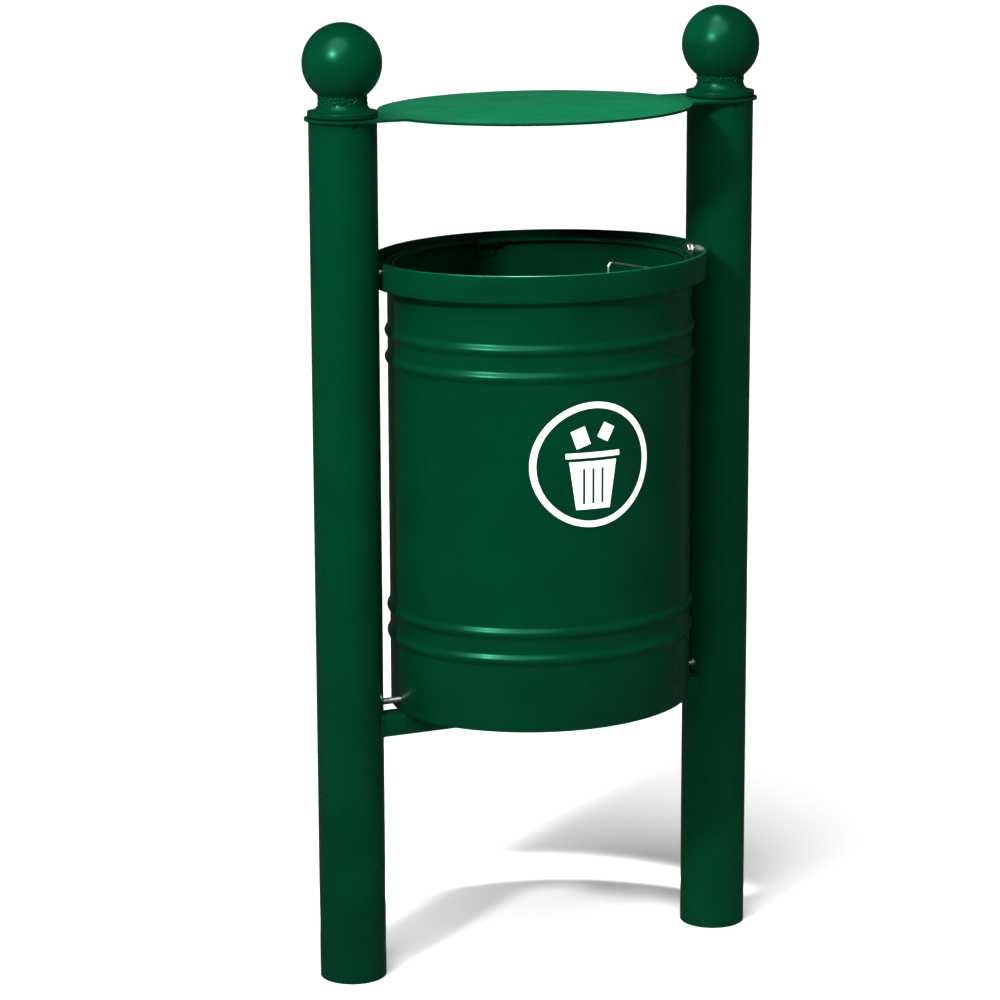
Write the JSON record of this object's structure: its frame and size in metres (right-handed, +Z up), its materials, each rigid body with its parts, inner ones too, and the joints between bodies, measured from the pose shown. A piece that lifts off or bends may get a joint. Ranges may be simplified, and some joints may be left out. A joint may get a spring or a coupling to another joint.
{
  "type": "litter bin",
  "caption": "Post-mounted street litter bin: oval beaded sheet bin in a rim band, hinged wire bag ring, flat canopy plate and ball-capped tube posts.",
  "frame": {"origin": "on the ground, under the middle of the bin", "axes": "+Z up along the posts, X from post to post, -Y the front that carries the sign"},
  "size_m": [0.5526, 0.3258, 1.0969],
  "materials": {
    "green_powder_coat": "satin green powder coat",
    "zinc_plated_steel": "bright zinc plate",
    "galvanised_wire": "drawn galvanised wire",
    "blackened_steel": "blackened grub screw",
    "white_vinyl": "white outdoor vinyl"
  },
  "bodies": {
    "frame": {"post_left": "green_powder_coat", "post_right": "green_powder_coat", "foot_bush_left": "zinc_plated_steel", "foot_bush_right": "zinc_plated_steel", "ball_cap_left": "green_powder_coat", "ball_cap_right": "green_powder_coat", "cap_screw_left": "blackened_steel", "cap_screw_right": "blackened_steel", "canopy": "green_powder_coat", "crossbar": "green_powder_coat", "rim_band": "green_powder_coat", "band_bolt_left": "zinc_plated_steel", "band_bolt_right": "zinc_plated_steel", "band_washer_left": "zinc_plated_steel", "band_washer_right": "zinc_plated_steel", "band_insert_left": "zinc_plated_steel", "band_insert_right": "zinc_plated_steel", "bin_shell": "green_powder_coat", "bin_floor": "green_powder_coat", "lower_bolt_left": "zinc_plated_steel", "lower_bolt_right": "zinc_plated_steel", "lower_washer_left": "zinc_plated_steel", "lower_washer_right": "zinc_plated_steel", "lower_insert_left": "zinc_plated_steel", "lower_insert_right": "zinc_plated_steel", "sign": "white_vinyl", "hinge_clip": "green_powder_coat", "rest_clip_left": "green_powder_coat", "rest_clip_right": "green_powder_coat", "clip_rivets": "green_powder_coat"},
    "ring": {"bag_ring": "green_powder_coat", "ring_grip": "galvanised_wire"}
  },
  "joints": [
    {"name": "bag_ring_lift", "type": "hinge", "parent": "frame", "child": "ring", "pos_m": [0, 0.14753, 0.8195], "axis": [-1, 0, 0], "range_deg": [0, 28]}
  ]
}
